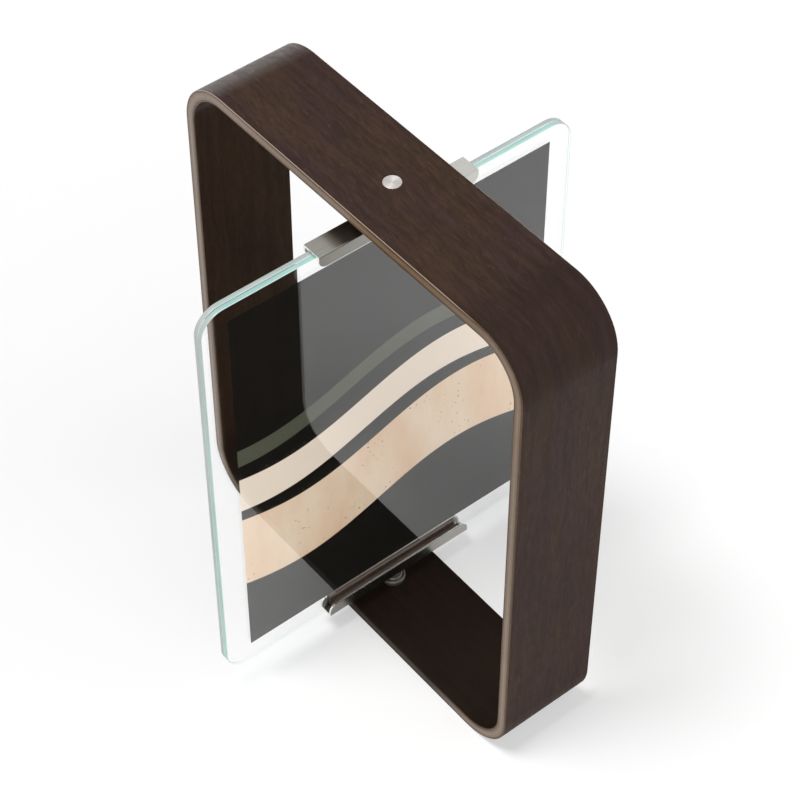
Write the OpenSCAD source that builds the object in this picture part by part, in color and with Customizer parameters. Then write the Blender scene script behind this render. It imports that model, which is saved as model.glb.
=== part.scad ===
// Tabletop photo frame: a laminated wooden loop that stands on edge, with a print between two
// sheets of glass that turns inside it on an upright axis.
// X runs across the loop, Y from its front to its back, Z up. The origin is on the surface that
// the frame stands on, in the middle of the loop. At rest the glass faces along X.

/* [Print and glass] */
// Width of the print
print_w = 200; // [120:5:300]
// Height of the print
print_h = 250; // [150:5:400]
// Thickness of the print
print_t = 0.26; // [0.2:0.02:0.4]
// Clear glass left bare on each side of the print
side_border = 15; // [8:0.25:30]
// Clear glass left bare above and below the print
end_border = 11.5; // [8:0.25:30]
// How far the glass lies towards the front of the print's middle
glass_shift = 1.6; // [-4:0.1:4]
// Thickness of each sheet of glass
glass_t = 2.8; // [2:0.1:4]
// Radius of the corners of the glass
glass_corner_r = 14; // [6:0.5:24]
// Width of the ground arris along the edges of the glass
glass_ease = 0.3; // [0.1:0.05:0.6]

/* [Wooden loop] */
// Gap between the glass's farther edge and the inside of the loop as the glass turns
swing_gap = 7.4; // [3:0.1:20]
// Depth of the loop's strip from front to back
loop_depth = 58.5; // [40:0.5:90]
// Thickness of each of the five plies
ply_t = 1.3; // [1.1:0.1:1.6]
// Radius of the loop's inner corners
loop_inner_r = 25; // [15:1:40]
// Easing of the loop's four long edges
loop_ease = 0.4; // [0.1:0.1:0.6]

/* [Clips] */
// Length of each clip along the glass
clip_len = 98.5; // [60:0.5:130]
// Height of each clip from its web to its open edges
clip_h = 7.3; // [6:0.1:12]
// Thickness of the clip's metal
clip_t = 1.2; // [0.8:0.1:1.6]
// Radius of the free corners of the clip's flanges
clip_corner_r = 5; // [2:0.5:5.5]
// Outer radius of the clip's two bends
clip_bend_r = 0.5; // [0.2:0.1:0.8]

/* [Liners] */
// Thickness of the liner's lips beside the glass
liner_lip_t = 1.9; // [1:0.1:3]
// Thickness of the liner's floor under the glass
liner_floor_t = 1; // [0.8:0.1:2]
// Distance from the end of a clip to the end of its liner
liner_inset = 4.8; // [2:0.2:10]

/* [Pivots] */
// Diameter of the pivot pin's shank
pin_d = 4; // [3:0.5:4.5]
// Diameter of the pivot pin's disc head
pin_head_d = 10; // [8.5:0.5:12]
// Thickness of the pivot pin's disc head
pin_head_t = 1.7; // [1:0.1:2.5]
// Depth of the disc head below the face of the wood
pin_head_recess = 0.2; // [0.1:0.1:0.5]
// Diameter of the pin's peened end inside the clip
pin_peen_d = 6.4; // [5.5:0.1:7.5]
// Thickness of the pin's peened end
pin_peen_t = 0.7; // [0.4:0.1:0.8]
// Wall of the bush's barrel in the wood
bush_wall = 1; // [0.6:0.1:1.5]
// Diameter of the bush's flange on the wood
bush_flange_d = 13.8; // [12:0.2:18]
// Thickness of the bush's flange
bush_flange_t = 3; // [1.5:0.1:4]
// Diameter of the thrust washer
washer_d = 10.2; // [9:0.2:11.4]
// Thickness of the thrust washer
washer_t = 1.3; // [0.8:0.1:2]
// Diameter of the spacer between washer and clip
spacer_d = 8; // [6.6:0.2:9]
// Height of the spacer
spacer_h = 5.3; // [3:0.1:8]
// Chamfer on the turned parts' edges
turned_ease = 0.3; // [0.1:0.1:0.5]

/* [Fits] */
// Radial clearance of the pin in its bush
running_fit = 0.05; // [0.02:0.01:0.1]
// Radial clearance of parts that are pressed or riveted together
fixed_fit = 0.02; // [0.01:0.01:0.04]
// Radial clearance of the disc head in its recess
head_fit = 0.1; // [0.1:0.05:0.3]
// Axial play of the turning parts at each end
thrust_gap = 0.1; // [0.05:0.05:0.3]
// Clearance between the glass and its liners
glass_fit = 0.05; // [0.03:0.01:0.1]
// Clearance between the print and each sheet of glass
print_fit = 0.02; // [0.01:0.01:0.05]
// Clearance round the peened end in the liner's floor
peen_fit = 0.3; // [0.2:0.1:0.5]

/* [Hidden] */
$fn = 96;

ply_count = 5;
loop_t = ply_count * ply_t;
loop_outer_r = loop_inner_r + loop_t;

// Heights of one end's stack, from the outer face of the wood to the glass
bush_top = loop_t + bush_flange_t;
washer_top = bush_top + washer_t;
spacer_bottom = washer_top + thrust_gap;
clip_outer = spacer_bottom + spacer_h;
clip_inner = clip_outer + clip_t;
liner_face = clip_inner + liner_floor_t;
glass_edge = liner_face + glass_fit;

// The glass is as large as the print and its bare borders
glass_w = print_w + 2 * side_border;
glass_h = print_h + 2 * end_border;

// The glass turns inside the loop, held between the two stacks
loop_w = glass_w + 2 * (abs(glass_shift) + swing_gap + loop_t);
loop_h = glass_h + 2 * glass_edge;
corner_x = loop_w / 2 - loop_outer_r;
corner_z = loop_h / 2 - loop_outer_r;

sheet_gap = print_t + 2 * print_fit;
pack_t = 2 * glass_t + sheet_gap;
liner_slot = pack_t + 2 * glass_fit;
clip_cavity = liner_slot + 2 * liner_lip_t;
clip_w = clip_cavity + 2 * clip_t;
liner_len = clip_len - 2 * liner_inset;

recess_depth = pin_head_recess + pin_head_t + thrust_gap;
recess_d = pin_head_d + 2 * head_fit;
bush_bore_d = pin_d + 2 * running_fit;
barrel_d = bush_bore_d + 2 * bush_wall;
barrel_hole_d = barrel_d + 2 * fixed_fit;
rivet_hole_d = pin_d + 2 * fixed_fit;
washer_bore_d = bush_bore_d + 2 * running_fit;

// How far cutting shapes run past the faces that they cut
past = 1;

// Stands its children at the top of the loop, upside down
module at_top() {
    translate([0, 0, loop_h]) mirror([0, 0, 1]) children();
}

// Turns a flat shape drawn in XY, with its thickness along Z, to face along X
module facing_x() {
    rotate([90, 0, 90]) children();
}

// Section of a ply: radius along x, depth of the strip along y
module ply_section(r0, r1, ease_in, ease_out) {
    half = loop_depth / 2;
    polygon(concat(
        ease_in > 0 ? [[r0, half - ease_in], [r0, ease_in - half], [r0 + ease_in, -half]] : [[r0, half], [r0, -half]],
        ease_out > 0 ? [[r1 - ease_out, -half], [r1, ease_out - half], [r1, half - ease_out], [r1 - ease_out, half]]
                     : [[r1, -half], [r1, half]],
        ease_in > 0 ? [[r0 + ease_in, half]] : []
    ));
}

// One straight run of a ply, with the bend's centre line at a distance from the middle
module ply_run(distance, length, r0, r1, ease_in, ease_out) {
    translate([distance, 0, 0])
        rotate([90, 0, 0])
            linear_extrude(height = length, center = true)
                ply_section(r0, r1, ease_in, ease_out);
}

// A closed ply: four straight runs and four quarter bends
module bent_ply(layer, ease_in = 0, ease_out = 0) {
    r0 = loop_inner_r + layer * ply_t;
    r1 = r0 + ply_t;
    difference() {
        translate([0, 0, loop_h / 2])
            rotate([90, 0, 0])
                for (side = [0, 180]) {
                    rotate([0, 0, side]) ply_run(corner_x, 2 * corner_z, r0, r1, ease_in, ease_out);
                    rotate([0, 0, side + 90]) ply_run(corner_z, 2 * corner_x, r0, r1, ease_in, ease_out);
                    rotate([0, 0, side])
                        translate([corner_x, corner_z, 0])
                            rotate_extrude(angle = 90) ply_section(r0, r1, ease_in, ease_out);
                    rotate([0, 0, side])
                        translate([-corner_x, corner_z, 0])
                            rotate([0, 0, 90])
                                rotate_extrude(angle = 90) ply_section(r0, r1, ease_in, ease_out);
                }
        pivot_hole();
        at_top() pivot_hole();
    }
}

// The hole for one pivot through the wood, with the recess for the disc head
module pivot_hole() {
    translate([0, 0, -past]) cylinder(h = recess_depth + past, d = recess_d);
    translate([0, 0, -past]) cylinder(h = loop_t + 2 * past, d = barrel_hole_d);
}

// A turned ring or disc with a small chamfer on its outer edges
module turned(d, h, bore_d = 0, ease = 0) {
    rotate_extrude()
        polygon([
            [bore_d / 2, 0], [d / 2 - ease, 0], [d / 2, ease],
            [d / 2, h - ease], [d / 2 - ease, h], [bore_d / 2, h]
        ]);
}

// A plate with rounded corners and an arris along both edges, standing on XY
module eased_plate(w, h, r, t, ease) {
    module edge_section(length) {
        polygon([
            [-length / 2, ease], [-length / 2 + ease, 0], [length / 2 - ease, 0], [length / 2, ease],
            [length / 2, t - ease], [length / 2 - ease, t], [-length / 2 + ease, t], [-length / 2, t - ease]
        ]);
    }
    rotate([90, 0, 0]) linear_extrude(height = h - 2 * r, center = true) edge_section(w);
    rotate([90, 0, 90]) linear_extrude(height = w - 2 * r, center = true) edge_section(h);
    for (x = [-1, 1], y = [-1, 1])
        translate([x * (w / 2 - r), y * (h / 2 - r), 0]) turned(2 * r, t, 0, ease);
}

// Bush with a barrel in the wood and a flange on its inner face
module bush() {
    difference() {
        union() {
            translate([0, 0, recess_depth]) cylinder(h = loop_t - recess_depth, d = barrel_d);
            translate([0, 0, loop_t]) turned(bush_flange_d, bush_flange_t, 0, turned_ease);
        }
        translate([0, 0, recess_depth - past]) cylinder(h = bush_top, d = bush_bore_d);
    }
}

// Thrust washer that the spacer turns on
module washer() {
    translate([0, 0, bush_top]) turned(washer_d, washer_t, washer_bore_d, turned_ease);
}

// Spacer that holds the clip clear of the wood
module spacer() {
    translate([0, 0, spacer_bottom]) turned(spacer_d, spacer_h, rivet_hole_d, turned_ease);
}

// Pivot pin: disc head in the wood, shank, and an end peened over inside the clip
module pivot_pin() {
    translate([0, 0, pin_head_recess]) turned(pin_head_d, pin_head_t, 0, turned_ease);
    translate([0, 0, pin_head_recess]) cylinder(h = clip_inner + pin_peen_t - pin_head_recess, d = pin_d);
    translate([0, 0, clip_inner]) turned(pin_peen_d, pin_peen_t, 0, turned_ease);
}

// Half of a channel's outline: the web lies on y = 0 and the flange stands at its end
module channel_half(outer_w, h, wall, bend_r) {
    square([outer_w / 2 - bend_r, wall]);
    translate([outer_w / 2 - wall, bend_r]) square([wall, h - bend_r]);
    translate([outer_w / 2 - bend_r, bend_r])
        intersection() {
            circle(r = bend_r);
            translate([0, -bend_r]) square([bend_r, bend_r]);
        }
}

// Channel along Y, open upwards, with its outer web face at z = 0
module channel(length, outer_w, h, wall, bend_r) {
    rotate([90, 0, 0])
        linear_extrude(height = length, center = true)
            for (side = [0, 1])
                mirror([side, 0]) channel_half(outer_w, h, wall, bend_r);
}

// Cuts the free corners of a channel's flanges to a radius
module corner_cut(length, outer_w, h, r) {
    for (end = [0, 1])
        mirror([0, end, 0])
            translate([-outer_w / 2 - past, length / 2 - r, h - r])
                difference() {
                    cube([outer_w + 2 * past, r + past, r + past]);
                    rotate([0, 90, 0]) cylinder(h = outer_w + 2 * past, r = r);
                }
}

// Metal clip that holds one edge of the glass
module clip() {
    difference() {
        translate([0, 0, clip_outer]) channel(clip_len, clip_w, clip_h, clip_t, clip_bend_r);
        translate([0, 0, clip_outer]) corner_cut(clip_len, clip_w, clip_h, clip_corner_r);
        translate([0, 0, clip_outer - past]) cylinder(h = clip_t + 2 * past, d = rivet_hole_d);
    }
}

// Soft liner between a clip and the glass
module liner() {
    difference() {
        translate([-clip_cavity / 2, -liner_len / 2, clip_inner])
            cube([clip_cavity, liner_len, clip_h - clip_t]);
        translate([-liner_slot / 2, -liner_len / 2 - past, liner_face])
            cube([liner_slot, liner_len + 2 * past, clip_h]);
        translate([0, 0, clip_inner - past])
            cylinder(h = liner_floor_t + 2 * past, d = pin_peen_d + 2 * peen_fit);
    }
}

// Sheet of glass with its inner face at a distance from the middle plane
module glass_sheet() {
    translate([sheet_gap / 2, -glass_shift, loop_h / 2])
        facing_x() eased_plate(glass_w, glass_h, glass_corner_r, glass_t, glass_ease);
}

module outer_ply() {
    color([0.26, 0.20, 0.17]) bent_ply(4, 0, loop_ease);
}
module outer_core_ply() {
    color([0.56, 0.49, 0.43]) bent_ply(3);
}
module middle_ply() {
    color([0.62, 0.55, 0.49]) bent_ply(2);
}
module inner_core_ply() {
    color([0.56, 0.49, 0.43]) bent_ply(1);
}
module inner_ply() {
    color([0.24, 0.18, 0.15]) bent_ply(0, loop_ease, 0);
}
module bottom_bush() {
    color([0.72, 0.72, 0.70]) bush();
}
module top_bush() {
    color([0.72, 0.72, 0.70]) at_top() bush();
}
module bottom_washer() {
    color([0.78, 0.78, 0.76]) washer();
}
module top_washer() {
    color([0.78, 0.78, 0.76]) at_top() washer();
}
module bottom_pivot_pin() {
    color([0.83, 0.81, 0.78]) pivot_pin();
}
module top_pivot_pin() {
    color([0.83, 0.81, 0.78]) at_top() pivot_pin();
}
module bottom_spacer() {
    color([0.70, 0.70, 0.68]) spacer();
}
module top_spacer() {
    color([0.70, 0.70, 0.68]) at_top() spacer();
}
module bottom_clip() {
    color([0.68, 0.68, 0.65]) clip();
}
module top_clip() {
    color([0.68, 0.68, 0.65]) at_top() clip();
}
module bottom_liner() {
    color([0.35, 0.34, 0.32]) liner();
}
module top_liner() {
    color([0.35, 0.34, 0.32]) at_top() liner();
}
module front_glass() {
    color([0.70, 0.85, 0.80, 0.35]) glass_sheet();
}
module rear_glass() {
    color([0.70, 0.85, 0.80, 0.35]) mirror([1, 0, 0]) glass_sheet();
}
module print() {
    color([0.20, 0.20, 0.19])
        translate([-print_t / 2, -print_w / 2, (loop_h - print_h) / 2])
            cube([print_t, print_w, print_h]);
}

outer_ply();
outer_core_ply();
middle_ply();
inner_core_ply();
inner_ply();
top_bush();
bottom_bush();
top_washer();
bottom_washer();
top_pivot_pin();
bottom_pivot_pin();
top_spacer();
bottom_spacer();
top_clip();
bottom_clip();
top_liner();
bottom_liner();
front_glass();
rear_glass();
print();
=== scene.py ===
"""Looks of the tabletop photo frame: espresso bentwood, polished clips, clear glass and a print.

X runs across the loop, Y from its front to its back, Z up, in metres. Every finish is made of
procedural nodes that read the object's own coordinates.
"""
import math

import bmesh
import bpy
from mathutils import Euler, Matrix, Vector


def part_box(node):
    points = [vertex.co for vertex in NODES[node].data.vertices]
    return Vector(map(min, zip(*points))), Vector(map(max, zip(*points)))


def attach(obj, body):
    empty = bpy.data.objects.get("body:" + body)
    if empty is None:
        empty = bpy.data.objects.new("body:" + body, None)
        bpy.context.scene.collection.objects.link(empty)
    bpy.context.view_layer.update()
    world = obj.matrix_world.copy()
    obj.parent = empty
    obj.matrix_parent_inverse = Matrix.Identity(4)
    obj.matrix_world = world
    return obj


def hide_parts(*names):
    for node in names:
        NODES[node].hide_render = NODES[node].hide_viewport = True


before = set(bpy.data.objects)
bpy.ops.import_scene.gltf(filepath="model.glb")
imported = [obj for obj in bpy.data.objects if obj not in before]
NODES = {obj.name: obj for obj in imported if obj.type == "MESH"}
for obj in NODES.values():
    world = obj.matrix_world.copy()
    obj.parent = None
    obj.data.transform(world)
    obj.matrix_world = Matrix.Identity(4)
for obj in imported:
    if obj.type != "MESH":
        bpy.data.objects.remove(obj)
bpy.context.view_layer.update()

MM = 0.001
WHITE = (1.0, 1.0, 1.0, 1.0)

# The loop, a bent strip of five plies. What belongs to its top or bottom run is whole up to
# RUN_DEPTH from the loop's end there, and gone at RUN_FADE.
LOOP_LOW, LOOP_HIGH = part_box("outer_ply")
LOOP_HALF_DEPTH = LOOP_HIGH[1]
LOOP_MIDDLE_Z = (LOOP_LOW[2] + LOOP_HIGH[2]) / 2
OUTER_BEND_R = 31.5 * MM
MIDDLE_BEND_R = 28.25 * MM
BEND_X = LOOP_HIGH[0] - OUTER_BEND_R
BEND_Z = LOOP_HIGH[2] - LOOP_MIDDLE_Z - OUTER_BEND_R
EDGE_EASE = 0.4 * MM
RUN_DEPTH, RUN_FADE = 7 * MM, 20 * MM

# The clips: past WEB_DEPTH from the web's outer face their vertices belong to the flanges
WEB_DEPTH = 1.85 * MM
FLANGE_DROP = 0.4 * MM
CLIP_EASE = 0.12 * MM

# The glass and the print
GLASS_LOW, GLASS_HIGH = (Vector(corner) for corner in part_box("front_glass"))
GLASS_MIDDLE = (GLASS_LOW + GLASS_HIGH) / 2
GLASS_HALF = (GLASS_HIGH - GLASS_LOW) / 2
GLASS_CORNER_R = 14 * MM
GLASS_EASE = 0.3 * MM
PRINT_LOW, PRINT_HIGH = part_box("print")
PRINT_MIDDLE_Z = (PRINT_LOW[2] + PRINT_HIGH[2]) / 2


def tone(red, green, blue):
    """A colour as it looks on screen, in 0 to 255, as a linear colour for a node."""
    def linear(value):
        value /= 255
        return value / 12.92 if value <= 0.04045 else ((value + 0.055) / 1.055) ** 2.4

    return linear(red), linear(green), linear(blue), 1.0


class Graph:
    """The node tree of a material or a world, and short ways to add nodes to it."""

    def __init__(self, owner, output):
        owner.use_nodes = True
        self.tree = owner.node_tree
        self.tree.nodes.clear()
        self.output = self.add(output)

    def put(self, socket, value):
        """Links a socket to the one that gives its value, or sets it to a constant."""
        if isinstance(value, bpy.types.NodeSocket):
            self.tree.links.new(value, socket)
        else:
            socket.default_value = value

    def add(self, kind, inputs=None, **settings):
        node = self.tree.nodes.new("ShaderNode" + kind)
        for name, value in settings.items():
            setattr(node, name, value)
        for name, value in (inputs or {}).items():
            self.put(node.inputs[name], value)
        return node

    def math(self, operation, *values):
        node = self.add("Math", operation=operation)
        for socket, value in zip(node.inputs, values):
            self.put(socket, value)
        return node.outputs[0]

    def plus(self, a, b):
        return self.math("ADD", a, b)

    def minus(self, a, b):
        return self.math("SUBTRACT", a, b)

    def times(self, a, b):
        return self.math("MULTIPLY", a, b)

    def most(self, a, b):
        return self.math("MAXIMUM", a, b)

    def least(self, a, b):
        return self.math("MINIMUM", a, b)

    def size(self, a):
        return self.math("ABSOLUTE", a)

    def parts(self, vector):
        return self.add("SeparateXYZ", {"Vector": vector}).outputs

    def vector(self, x, y, z):
        return self.add("CombineXYZ", {"X": x, "Y": y, "Z": z}).outputs[0]

    def noise(self, vector, scale=1.0, detail=2.0, roughness=0.5, distortion=0.0):
        node = self.add("TexNoise", {
            "Vector": vector, "Scale": scale, "Detail": detail,
            "Roughness": roughness, "Distortion": distortion})
        return node.outputs["Fac"]

    def span(self, value, low, high, at_low=0.0, at_high=1.0, soft=False):
        """Maps low..high to at_low..at_high and clamps it."""
        node = self.add("MapRange", {
            "Value": value, "From Min": low, "From Max": high,
            "To Min": at_low, "To Max": at_high})
        node.interpolation_type = "SMOOTHSTEP" if soft else "LINEAR"
        return node.outputs[0]

    def mix(self, share, a, b, kind="RGBA"):
        """Goes from a to b by the share, as colours or, of the kind FLOAT, as numbers."""
        node = self.add("Mix", {"Factor": share, "A": a, "B": b}, data_type=kind)
        return node.outputs["Result"]

    def bump(self, height, distance, strength):
        node = self.add("Bump", {"Strength": strength, "Distance": distance, "Height": height})
        return node.outputs[0]

    def surface(self, shader):
        self.put(self.output.inputs["Surface"], shader)

    def surface_mix(self, share, first, second):
        """Goes from the first shader to the second by the share."""
        node = self.add("MixShader", {"Fac": share})
        self.put(node.inputs[1], first)
        self.put(node.inputs[2], second)
        self.surface(node.outputs[0])


class Finish(Graph):
    """A material whose patterns read the object's own coordinates."""

    def __init__(self, name):
        self.material = bpy.data.materials.new(name)
        super().__init__(self.material, "OutputMaterial")
        self.place = self.add("TexCoord").outputs["Object"]
        self.x, self.y, self.z = self.parts(self.place)

    def principled(self, **values):
        """Makes the principled shader the surface; each value's name is an input's name."""
        node = self.add("BsdfPrincipled")
        for name, value in values.items():
            self.put(node.inputs[name.replace("_", " ").title().replace("Ior", "IOR")], value)
        self.surface(node.outputs[0])
        return node.outputs[0]


def into_scene(name, data):
    """A new object of this data, in the scene."""
    made = bpy.data.objects.new(name, data)
    bpy.context.scene.collection.objects.link(made)
    return made


def from_form(name, form, *finishes):
    """A new mesh object made of a bmesh, with a slot for each finish."""
    mesh = bpy.data.meshes.new(name)
    form.to_mesh(mesh)
    form.free()
    for finish in finishes:
        mesh.materials.append(finish.material)
    return into_scene(name, mesh)


def dress(node, finish):
    """Gives a CAD node its finish."""
    for slot in NODES[node].material_slots:
        slot.material = finish.material


def stand_for(node, name, form, body, slot, *finishes):
    """Puts a piece made of a bmesh in the place of a CAD node."""
    piece = from_form(name, form, *finishes)
    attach(piece, body)
    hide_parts(node)


# ---- Wood

LACQUER_IOR, LACQUER_ROUGH, LACQUER_SHARE = 1.56, 0.26, 0.7
VENEER_GLOSS = 0.04
# The third edge tone and the core tone below are painted shade for the cut edges along the bottom
# run.
EDGE_LIGHT, EDGE_DARK, EDGE_SHADE = tone(98, 73, 48), tone(72, 52, 32), tone(40, 32, 26)
CORE_SHADE = tone(46, 37, 30)
# Painted shade, mixed into the lining along the bottom run.
LINING_SHADE = tone(20, 16, 14)
# A painted highlight for the top run's arrises.
ARRIS_HIGHLIGHT_TONE = tone(186, 164, 150)


def loop_way(f):
    """The way along the strip from the middle of its top run, below zero on the left side."""
    up = f.minus(f.z, LOOP_MIDDLE_Z)
    side, height = f.size(f.x), f.size(up)
    past_x = f.most(f.minus(side, BEND_X), 0.0)
    past_z = f.most(f.minus(height, BEND_Z), 0.0)
    run = f.least(side, BEND_X)
    bend = f.times(f.math("ARCTAN2", past_x, past_z), MIDDLE_BEND_R)
    fall = f.minus(BEND_Z, f.least(height, BEND_Z))
    way = f.plus(f.plus(run, bend), fall)
    half_loop = 2 * (BEND_X + MIDDLE_BEND_R * math.pi / 2 + BEND_Z)
    way = f.mix(f.math("LESS_THAN", up, 0.0), way, f.minus(half_loop, way), kind="FLOAT")
    return f.times(way, f.math("SIGN", f.x))


def top_run(f, share):
    """The share along the top run, and nothing below it."""
    return f.span(f.z, LOOP_HIGH[2] - RUN_FADE, LOOP_HIGH[2] - RUN_DEPTH, 0.0, share)


def cut_edge(f, way, light, dark, shaded, seed):
    """The sanded edge of a ply: its colour, its share of lacquer and its painted shade.

    Fine fibres run lengthwise. The lacquer is duller along the top run and the right upright, and
    dullest along the bottom run, where the colour also darkens with painted shade.
    """
    across = f.plus(f.x, f.z)
    fibre = f.noise(f.vector(f.times(way, 130.0), f.times(across, 2200.0), seed), detail=3.0)
    patch = f.noise(f.vector(f.times(way, 16.0), 0.0, seed + 3.0), detail=3.0)
    figure = f.plus(f.times(fibre, 0.6), f.times(patch, 0.4))
    wood = f.mix(f.span(figure, 0.36, 0.64), dark, light)

    top = f.times(top_run(f, 0.55), f.span(f.x, -BEND_X, -BEND_X + 60 * MM))
    # Painted shade along the bottom run, fading out towards its right end.
    shade = f.times(f.span(f.z, LOOP_LOW[2] + RUN_DEPTH, LOOP_LOW[2] + RUN_FADE, 0.92, 0.0),
                    f.span(f.x, BEND_X - 30 * MM, BEND_X + 15 * MM, 1.0, 0.0))
    right = f.span(f.x, BEND_X - 20 * MM, BEND_X + 10 * MM, 0.0, 0.42)
    dull = f.most(f.most(top, shade), right)
    return f.mix(shade, wood, shaded), f.times(f.minus(1.0, dull), LACQUER_SHARE), shade


def veneer_grain(f, way, seed):
    """Patterns drawn out along the strip: clouds, bands, dark and pale flecks, and pores."""
    drift = f.noise(f.vector(f.times(way, 26.0), f.times(f.y, 60.0), seed))
    waved = f.plus(f.y, f.times(f.minus(drift, 0.5), 6 * MM))
    on_top = f.least(f.most(way, -BEND_X), BEND_X)
    slanted = f.plus(waved, f.times(on_top, 0.12))

    def along(side, per_way, per_side, shift, **more):
        stretched = f.vector(f.times(way, per_way), f.times(side, per_side), seed + shift)
        return f.noise(stretched, **more)

    clouds = along(waved, 14.0, 50.0, 9.0, detail=3.0)
    bands = along(waved, 11.0, 260.0, 1.0, detail=3.0, roughness=0.55)
    flecks = along(slanted, 105.0, 430.0, 2.0, detail=5.0, roughness=0.62, distortion=0.6)
    pale = along(slanted, 150.0, 780.0, 5.0, distortion=0.6)
    pores = f.span(along(waved, 210.0, 2300.0, 6.0), 0.60, 0.70)
    return clouds, bands, flecks, pale, pores


def veneer_shine(f, pale):
    """The lacquer that shines at a slant: a haze on the upper half and a sheen on the top bends."""
    facing = f.add("LayerWeight", {"Blend": 0.5}).outputs["Facing"]
    haze = f.times(f.span(facing, 0.50, 0.63, 0.0, 0.42, soft=True),
                   f.span(pale, 0.35, 0.65, 0.3, 1.0))
    haze = f.times(haze, f.span(f.z, LOOP_MIDDLE_Z, LOOP_MIDDLE_Z + BEND_Z))
    sheen = f.times(f.span(facing, 0.36, 0.44, soft=True), f.span(facing, 0.52, 0.78, 1.0, 0.55))
    sheen = f.times(sheen, f.span(pale, 0.35, 0.65, 0.55, 1.0))
    bent = f.times(f.span(f.size(f.x), BEND_X - 3 * MM, BEND_X + 4 * MM),
                   f.span(f.z, LOOP_HIGH[2] - 26 * MM, LOOP_HIGH[2] - 12 * MM))
    return f.most(haze, f.times(sheen, bent))


def veneer(name, seed, tones, roughness, low_painted_shade=0.0, bend_painted_shade=0.0):
    """Stained veneer on the face of an outer or inner ply, and lacquered wood on its cut edges.

    The last two arguments darken the bottom run and the top right bend with painted shade.
    """
    f = Finish(name)
    way = loop_way(f)
    clouds, bands, flecks, pale, pores = veneer_grain(f, way, seed)
    brown, red, black, fleck = tones
    colour = f.mix(f.span(clouds, 0.40, 0.60), brown, red)
    colour = f.mix(f.span(bands, 0.42, 0.62, 0.0, 0.30), colour, black)
    depth = f.span(f.size(way), BEND_X, BEND_X + 50 * MM, 0.40, 0.24)
    colour = f.mix(f.times(f.span(flecks, 0.40, 0.62), depth), colour, black)
    colour = f.mix(f.span(pale, 0.60, 0.72, 0.0, 0.30), colour, fleck)
    colour = f.mix(f.times(pores, 0.35), colour, black)
    # Painted shade: darker round the top right bend, and a little darker beyond it down the right
    # side.
    bend_shade = f.times(f.span(way, BEND_X - 25 * MM, BEND_X + 5 * MM, 0.0, bend_painted_shade, soft=True),
                   f.span(way, BEND_X + 28 * MM, BEND_X + 60 * MM, 1.0, 0.45, soft=True))
    colour = f.mix(bend_shade, colour, black)
    # Painted shade: darker towards the bottom run, by the share given for it.
    low = f.span(f.z, LOOP_LOW[2] + 12 * MM, LOOP_LOW[2] + 45 * MM, low_painted_shade, 0.0, soft=True)
    colour = f.mix(low, colour, LINING_SHADE)

    from_middle = f.size(f.y)
    cut = f.span(from_middle, LOOP_HALF_DEPTH - EDGE_EASE, LOOP_HALF_DEPTH - EDGE_EASE * 0.8)
    edge, lacquer, _ = cut_edge(f, way, EDGE_LIGHT, EDGE_DARK, EDGE_SHADE, seed)
    # A painted highlight along both arrises of the top run, up to the top right bend.
    arris = f.span(from_middle, LOOP_HALF_DEPTH - EDGE_EASE * 0.4,
                   LOOP_HALF_DEPTH - EDGE_EASE * 0.05, 1.0, 0.0)
    arris = f.times(f.times(arris, top_run(f, 0.8)),
                    f.span(f.x, BEND_X - 20 * MM, BEND_X + 2 * MM, 1.0, 0.0))
    colour = f.mix(cut, colour, f.mix(arris, edge, ARRIS_HIGHLIGHT_TONE))
    relief = f.minus(f.times(flecks, 0.4), pores)
    f.principled(
        base_color=colour, roughness=f.span(flecks, 0.3, 0.7, roughness, roughness + 0.10),
        specular_ior_level=VENEER_GLOSS,
        coat_weight=f.most(f.times(cut, lacquer), veneer_shine(f, pale)),
        coat_ior=LACQUER_IOR, coat_roughness=LACQUER_ROUGH, normal=f.bump(relief, 0.03 * MM, 0.5))
    return f


def bare_ply(name, seed, light, dark):
    """An inner ply, which shows only along its two cut edges."""
    f = Finish(name)
    colour, lacquer, shade = cut_edge(f, loop_way(f), light, dark, CORE_SHADE, seed)
    f.principled(
        base_color=colour, roughness=0.5, specular_ior_level=f.span(shade, 0.0, 1.0, 0.5, 0.1),
        coat_weight=lacquer, coat_ior=LACQUER_IOR, coat_roughness=LACQUER_ROUGH)
    return f


FACE_TONES = tone(68, 52, 42), tone(65, 49, 46), tone(38, 29, 26), tone(90, 72, 60)
LINING_TONES = tone(72, 54, 40), tone(66, 48, 38), tone(36, 26, 20), tone(86, 66, 50)
dress("outer_ply", veneer("espresso_face", 1.3, FACE_TONES, 0.42, bend_painted_shade=0.5))
dress("inner_ply", veneer("espresso_lining", 7.1, LINING_TONES, 0.45, low_painted_shade=0.8))
cross_ply = bare_ply("cross_ply_edge", 3.7, tone(120, 92, 63), tone(92, 69, 45))
long_ply = bare_ply("long_ply_edge", 5.9, tone(138, 111, 81), tone(108, 86, 61))
dress("outer_core_ply", cross_ply)
dress("middle_ply", long_ply)
dress("inner_core_ply", cross_ply)

# ---- Metal


def turned_steel(name, dark, bright):
    """Lathe-turned steel: fine rings round the pivot axis, which draw the light out into fans."""
    f = Finish(name)
    radius = f.math("SQRT", f.plus(f.times(f.x, f.x), f.times(f.y, f.y)))
    rings = f.noise(f.vector(f.times(radius, 12000.0), f.times(f.z, 12000.0), 0.0), detail=1.0)
    stain = f.noise(f.place, scale=400.0)
    round_axis = f.add("Tangent", direction_type="RADIAL", axis="Z").outputs[0]
    f.principled(
        base_color=f.mix(f.span(rings, 0.3, 0.7), dark, bright), metallic=1.0,
        roughness=f.span(stain, 0.3, 0.7, 0.40, 0.50), anisotropic=0.45,
        anisotropic_rotation=0.25, tangent=round_axis, normal=f.bump(rings, 0.008 * MM, 0.4))
    return f


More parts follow.
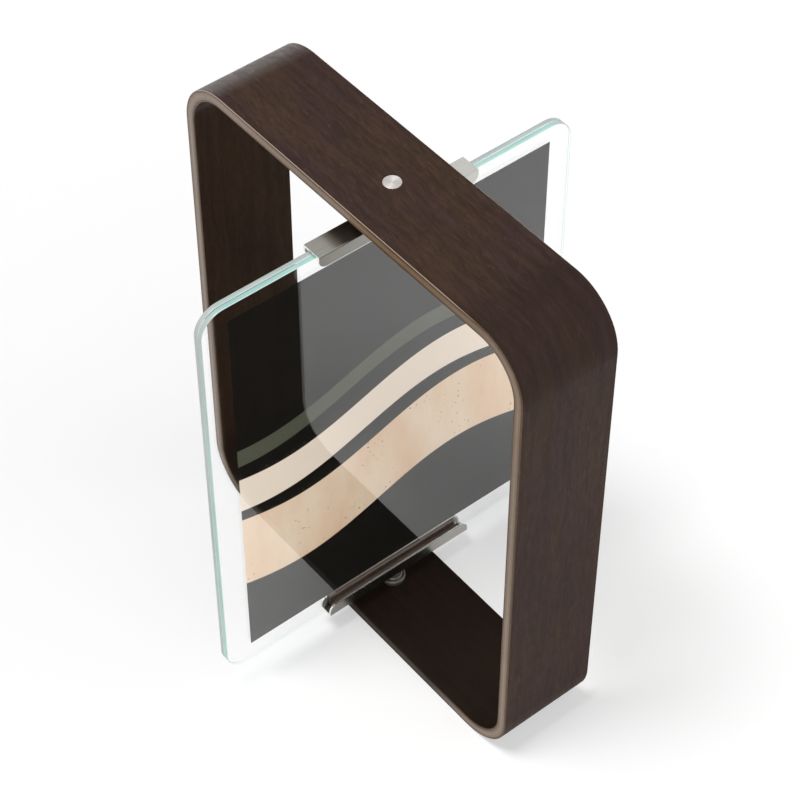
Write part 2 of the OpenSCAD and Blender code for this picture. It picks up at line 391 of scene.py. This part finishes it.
def polished_steel(name, front, rear):
    """Folded sheet, polished, with the faint haze of handling, and a pair of tones at each end:
    painted shade at the front and painted light at the back.
    """
    f = Finish(name)
    lines = f.noise(f.vector(f.times(f.x, 5000.0), f.times(f.y, 40.0), f.times(f.z, 5000.0)),
                    detail=1.0)
    smear = f.noise(f.place, scale=70.0, detail=3.0)
    streak = f.span(lines, 0.3, 0.7)
    f.principled(
        # Painted light: darker towards the front of the clip, lighter towards its back.
        base_color=f.mix(f.span(f.y, -5 * MM, 38 * MM), f.mix(streak, *front),
                         f.mix(streak, *rear)),
        metallic=1.0, roughness=f.span(smear, 0.3, 0.7, 0.22, 0.28),
        normal=f.bump(lines, 0.002 * MM, 0.2))
    return f


def soft_liner():
    """Grey moulded rubber with a faint matt skin."""
    f = Finish("liner_rubber")
    grit = f.noise(f.place, scale=3500.0, detail=3.0)
    f.principled(base_color=f.mix(grit, tone(84, 68, 60), tone(100, 84, 76)), roughness=0.7,
                 specular_ior_level=0.3, normal=f.bump(grit, 0.02 * MM, 0.4))
    return f


def eased_clip(node, name, sheet, end_highlight):
    """The folded clip with its flanges closed down to the print, broken edges, and end
    faces painted near-white as a painted highlight.
    """
    form = bmesh.new()
    form.from_mesh(NODES[node].data)
    bmesh.ops.remove_doubles(form, verts=form.verts, dist=0.001 * MM)
    bmesh.ops.dissolve_limit(form, angle_limit=math.radians(0.5), verts=form.verts,
                             edges=form.edges)
    low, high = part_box(node)
    web, inwards = (low[2], 1.0) if high[2] < LOOP_MIDDLE_Z else (high[2], -1.0)
    flanges = [v for v in form.verts if abs(v.co.z - web) > WEB_DEPTH]
    bmesh.ops.translate(form, verts=flanges, vec=(0.0, 0.0, inwards * FLANGE_DROP))
    sharp = [e for e in form.edges
             if len(e.link_faces) == 2 and e.calc_face_angle() > math.radians(40)]
    bmesh.ops.bevel(form, geom=sharp, offset=CLIP_EASE, offset_type="OFFSET", affect="EDGES",
                    segments=3, profile=0.5, material=-1)
    bmesh.ops.recalc_face_normals(form, faces=form.faces)
    # The end faces take the second finish, a painted highlight.
    for face in form.faces:
        face.material_index = 1 if abs(face.normal.y) > 0.6 else 0
    stand_for(node, name, form, "carriage", "clip_metal", sheet, end_highlight)


# The bottom pivot's pieces take a darker copy of the same steel: painted shade.
top_steel = turned_steel("turned_steel", tone(200, 195, 191), tone(214, 209, 205))
steel_in_painted_shade = turned_steel("shaded_steel", tone(138, 135, 129), tone(162, 158, 152))
for end, steel in (("top", top_steel), ("bottom", steel_in_painted_shade)):
    for part in ("bush", "washer", "pivot_pin", "spacer"):
        dress(f"{end}_{part}", steel)
rubber = soft_liner()
for end in ("top", "bottom"):
    dress(f"{end}_liner", rubber)
# A painted highlight for the clips' sheared end faces, near white.
END_HIGHLIGHT_TONES = tone(244, 243, 238), tone(250, 249, 245)
# The front tones are painted shade, the back ones painted light.
clip_steel = polished_steel("polished_steel", (tone(149, 148, 140), tone(158, 157, 150)),
                            (tone(202, 201, 194), tone(210, 209, 203)))
clip_end_highlight = polished_steel("sheared_end_highlight", END_HIGHLIGHT_TONES, END_HIGHLIGHT_TONES)
for end in ("top", "bottom"):
    eased_clip(f"{end}_clip", f"{end}_channel", clip_steel, clip_end_highlight)

# ---- Glass

# Painted grey round the upper corners of the rims.
CORNER_GREY = tone(180, 187, 183)


def float_glass():
    """Clear float glass, which lets the light of lamps through."""
    f = Finish("float_glass")
    glass = f.principled(base_color=WHITE, roughness=0.0, ior=1.5, transmission_weight=1.0)
    clear = f.add("BsdfTransparent", {"Color": (0.975, 0.985, 0.98, 1.0)})
    paths = f.add("LightPath").outputs
    from_lamp = f.most(paths["Is Shadow Ray"], paths["Is Diffuse Ray"])
    f.surface_mix(from_lamp, glass, clear.outputs[0])
    return f


def polished_edge(name, deep, pale, arris, seed):
    """The polished rim of a sheet, painted with the glow of the light that runs through the glass.

    Its glow is painted light over the glass's own faint tint. It has a painted highlight along
    each arris and a painted grey round the upper corners.
    """
    f = Finish(name)
    way = f.plus(f.times(f.y, 9.0), f.times(f.z, 9.0))
    drift = f.noise(f.vector(way, 0.0, seed), detail=3.0, roughness=0.6)
    lines = f.noise(f.vector(f.times(f.x, 2400.0), f.times(way, 4.0), seed))
    colour = f.mix(f.span(drift, 0.35, 0.65), deep, pale)
    colour = f.mix(f.span(lines, 0.35, 0.75, 0.0, 0.35), colour, arris)
    from_middle = f.size(f.minus(f.size(f.x), GLASS_MIDDLE.x))
    rim_highlight = f.span(from_middle, GLASS_HALF.x - GLASS_EASE, GLASS_HALF.x - 0.22 * MM, 0.0, 0.8)
    colour = f.mix(rim_highlight, colour, arris)
    side = f.span(f.size(f.minus(f.y, GLASS_MIDDLE.y)), GLASS_HALF.y - 15 * MM,
                  GLASS_HALF.y - 6 * MM)
    corner = f.least(side, f.span(f.z, GLASS_HIGH.z - 170 * MM, GLASS_HIGH.z - 14 * MM))
    greyed = f.times(corner, f.span(drift, 0.35, 0.65, 0.9, 0.5))
    rim = f.principled(base_color=f.mix(greyed, colour, CORNER_GREY), roughness=0.22,
                       specular_ior_level=0.5)
    through = f.add("BsdfTransparent", {"Color": (0.96, 1.0, 0.985, 1.0)})
    inside = f.add("NewGeometry").outputs["Backfacing"]
    from_lamp = f.times(f.add("LightPath").outputs["Is Shadow Ray"], 0.85)
    f.surface_mix(f.most(inside, from_lamp), rim, through.outputs[0])
    return f


def glass_sheet(node, name, clear, rim):
    """A sheet with round corners and a narrow arris; only its rim takes the second finish."""
    low, high = (Vector(corner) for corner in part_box(node))
    size = high - low
    form = bmesh.new()
    bmesh.ops.create_grid(form, x_segments=1, y_segments=1, size=0.5)
    bmesh.ops.scale(form, vec=(size.y, size.z, 1.0), verts=form.verts)
    bmesh.ops.bevel(form, geom=form.verts[:], offset=GLASS_CORNER_R, offset_type="OFFSET",
                    affect="VERTICES", segments=20, profile=0.5, material=-1)
    for axis in ("X", "Z"):
        bmesh.ops.rotate(form, matrix=Matrix.Rotation(math.pi / 2, 3, axis), verts=form.verts)
    bmesh.ops.translate(form, vec=(low.x, (low.y + high.y) / 2, (low.z + high.z) / 2),
                        verts=form.verts)
    raised = bmesh.ops.extrude_face_region(form, geom=form.faces[:])
    raised = [v for v in raised["geom"] if isinstance(v, bmesh.types.BMVert)]
    bmesh.ops.translate(form, vec=(size.x, 0.0, 0.0), verts=raised)
    bmesh.ops.recalc_face_normals(form, faces=form.faces)
    outline = [e for e in form.edges if abs(e.verts[0].co.x - e.verts[1].co.x) < 0.01 * MM]
    bmesh.ops.bevel(form, geom=outline, offset=GLASS_EASE, offset_type="OFFSET", affect="EDGES",
                    segments=2, profile=0.5, material=-1)
    bmesh.ops.recalc_face_normals(form, faces=form.faces)
    for face in form.faces:
        broad = abs(face.normal.x) > 0.99
        face.material_index = 0 if broad else 1
        face.smooth = not broad
    stand_for(node, name, form, "glass_pack", "glass", clear, rim)


# Both rims are of the same glass; the front one glows aqua and the rear one grey, as painted light.
glass = float_glass()
aqua_edge = polished_edge("aqua_edge", tone(132, 178, 171), tone(170, 214, 207),
                          tone(206, 226, 221), 2.0)
grey_edge = polished_edge("grey_edge", tone(150, 160, 158), tone(178, 192, 188),
                          tone(208, 218, 214), 8.0)
glass_sheet("front_glass", "front_sheet", glass, aqua_edge)
glass_sheet("rear_glass", "rear_sheet", glass, grey_edge)

# ---- Print

ROLL_RATE, ROLL_HEIGHT = 30.0, 11 * MM
BAND_BLUR = 0.15 * MM


def printed_sheet():
    """A plain design of three rolling bands on a charcoal ground, dark grey behind."""
    f = Finish("art_paper")
    up = f.minus(f.z, PRINT_MIDDLE_Z)

    def band(middle, thickness, shift):
        wave = f.math("SINE", f.times(f.plus(f.y, shift), ROLL_RATE))
        line = f.plus(f.times(wave, ROLL_HEIGHT), middle)
        return f.span(f.size(f.minus(up, line)), thickness / 2 - BAND_BLUR,
                      thickness / 2 + BAND_BLUR, 1.0, 0.0)

    stain = f.noise(f.vector(0.0, f.times(f.y, 30.0), f.times(up, 12.0)), detail=4.0,
                    roughness=0.6)
    chips = f.noise(f.place, scale=520.0, detail=1.0)
    clusters = f.noise(f.place, scale=40.0)
    speck = f.times(f.span(chips, 0.70, 0.72), f.span(clusters, 0.5, 0.6))
    sand = f.mix(f.span(stain, 0.35, 0.7), tone(252, 228, 202), tone(242, 202, 168))
    sand = f.mix(speck, sand, tone(70, 52, 40))
    peach = tone(255, 237, 219)
    sage = f.mix(f.noise(f.place, scale=1400.0), tone(70, 72, 60), tone(104, 106, 90))
    colour = f.mix(f.noise(f.place, scale=900.0), tone(24, 23, 21), tone(26, 25, 23))
    colour = f.mix(band(-42 * MM, 52 * MM, 10 * MM), colour, sand)
    colour = f.mix(band(6 * MM, 24 * MM, 20 * MM), colour, peach)
    colour = f.mix(band(36 * MM, 12 * MM, 30 * MM), colour, sage)
    behind = f.math("LESS_THAN", f.x, PRINT_LOW[0] + 0.01 * MM)
    f.principled(base_color=f.mix(behind, colour, tone(52, 51, 49)), roughness=0.8,
                 specular_ior_level=0.0)
    return f


dress("print", printed_sheet())

# ---- Studio

FLOOR_HALF = 12.0
FLOOR_SEEN, FLOOR_UNSEEN = (0.925, 0.925, 0.925, 1.0), (0.85, 0.85, 0.85, 1.0)
LAMP_STRENGTH, LAMP_WIDTH = 2.3, math.radians(21)
LAMP_SIDE = Vector((-0.10, -0.30, 1.0))
CAMERA_PLACE = (0.68187, -0.54712, 1.11836)
CAMERA_TURN = [math.radians(degrees) for degrees in (42.229, -0.049, 51.061)]
SENSOR_MM, LENS_MM = 36.0, 112.16


def studio_floor():
    """A plain pale floor, lifted a little where the camera or a reflection sees it."""
    f = Finish("studio_floor")
    paths = f.add("LightPath").outputs
    straight = f.most(paths["Is Camera Ray"], paths["Is Transmission Ray"])
    seen = f.most(straight, paths["Is Glossy Ray"])
    paint = f.add("BsdfDiffuse", {"Color": f.mix(straight, FLOOR_UNSEEN, FLOOR_SEEN)})
    glow = f.add("Emission", {"Strength": 1.0})
    lift = f.most(f.times(straight, 0.44), f.times(seen, 0.10))
    f.surface_mix(lift, paint.outputs[0], glow.outputs[0])
    form = bmesh.new()
    bmesh.ops.create_grid(form, x_segments=1, y_segments=1, size=FLOOR_HALF)
    floor = from_form("studio_floor", form, f)


def studio_light():
    """White surroundings and a high soft lamp.

    The camera sees plain white. What glossy surfaces reflect has a dimmer strip towards the back,
    and matt ones get their light mostly from the right.
    """
    world = bpy.data.worlds.new("studio")
    bpy.context.scene.world = world
    g = Graph(world, "OutputWorld")
    x, y, z = g.parts(g.add("TexCoord").outputs["Generated"])
    strip = g.times(g.span(z, 0.24, 0.38, soft=True), g.span(z, 0.52, 0.72, 1.0, 0.0, soft=True))
    strip = g.times(strip, g.span(y, -0.3, 0.1, soft=True))
    reflected = g.mix(strip, 1.05, 0.40, kind="FLOAT")
    broad = g.plus(g.times(g.most(x, 0.0), 1.60), 0.08)
    paths = g.add("LightPath").outputs
    strength = g.mix(paths["Is Glossy Ray"], broad, reflected, kind="FLOAT")
    strength = g.mix(paths["Is Transmission Ray"], strength, 1.0, kind="FLOAT")
    strength = g.mix(paths["Is Camera Ray"], strength, 1.0, kind="FLOAT")
    background = g.add("Background", {"Color": WHITE, "Strength": strength})
    g.surface(background.outputs[0])

    data = bpy.data.lights.new("high_soft_lamp", "SUN")
    data.energy, data.angle = LAMP_STRENGTH, LAMP_WIDTH
    lamp = into_scene("high_soft_lamp", data)
    lamp.rotation_mode = "QUATERNION"
    lamp.rotation_quaternion = LAMP_SIDE.to_track_quat("Z", "Y")
    lamp.location = LAMP_SIDE


def photo_camera():
    """The camera of the photograph, from the fit to its outlines."""
    data = bpy.data.cameras.new("photo_camera")
    data.sensor_width, data.lens = SENSOR_MM, LENS_MM
    data.clip_start, data.clip_end = 0.05, 50.0
    camera = into_scene("photo_camera", data)
    camera.location = CAMERA_PLACE
    camera.rotation_euler = Euler(CAMERA_TURN, "XYZ")
    bpy.context.scene.camera = camera


studio_floor()
studio_light()
photo_camera()
bpy.context.scene.view_settings.view_transform = "Standard"
